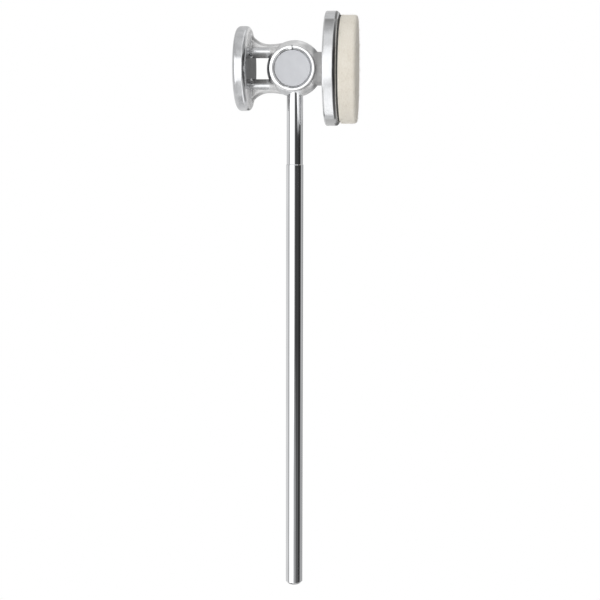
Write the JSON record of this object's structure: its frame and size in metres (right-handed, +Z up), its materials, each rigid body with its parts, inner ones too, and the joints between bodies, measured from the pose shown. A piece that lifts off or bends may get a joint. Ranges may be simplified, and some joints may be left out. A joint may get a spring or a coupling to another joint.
{
  "type": "bass drum beater",
  "caption": "Two-faced bass drum beater: chromed shaft, cast hub with a window and struts, round felt striking plate on one side, round hard face on the other and pull-out hub weights.",
  "frame": {"origin": "on the shaft's axis, at the lower end of the shaft's parallel part, where a pedal's clamp slides on", "axes": "+Z up along the shaft towards the head, +X towards the felt face, the hub's bore along Y"},
  "size_m": [0.0552, 0.0516, 0.2714],
  "materials": {
    "shaft_chrome": "mirror",
    "head_chrome": "polished casting",
    "plate_chrome": "satin",
    "rim_chrome": "bright",
    "steel": "plain",
    "cap_plastic": "satin",
    "hard_plastic": "satin",
    "felt": "pressed wool felt",
    "tape": "adhesive",
    "rubber": "matt"
  },
  "bodies": {
    "beater": {"shaft": "shaft_chrome", "shaft_pin": "steel", "head_frame": "head_chrome", "strike_plate": "plate_chrome", "plate_screw": "steel", "felt_tape": "tape", "felt_pad": "felt", "hard_face_tape": "tape", "hard_face": "hard_plastic", "front_bezel": "rim_chrome", "rear_bezel": "rim_chrome"},
    "front_insert": {"front_weight": "steel", "front_weight_cap": "cap_plastic", "front_grip_ring": "rubber"},
    "rear_insert": {"rear_weight": "steel", "rear_weight_cap": "cap_plastic", "rear_grip_ring": "rubber"}
  },
  "joints": [
    {"name": "front_weight_pull", "type": "slide", "parent": "beater", "child": "front_insert", "axis": [0, -1, 0], "range_m": [0, 0.012]},
    {"name": "rear_weight_pull", "type": "slide", "parent": "beater", "child": "rear_insert", "axis": [0, 1, 0], "range_m": [0, 0.012]}
  ]
}
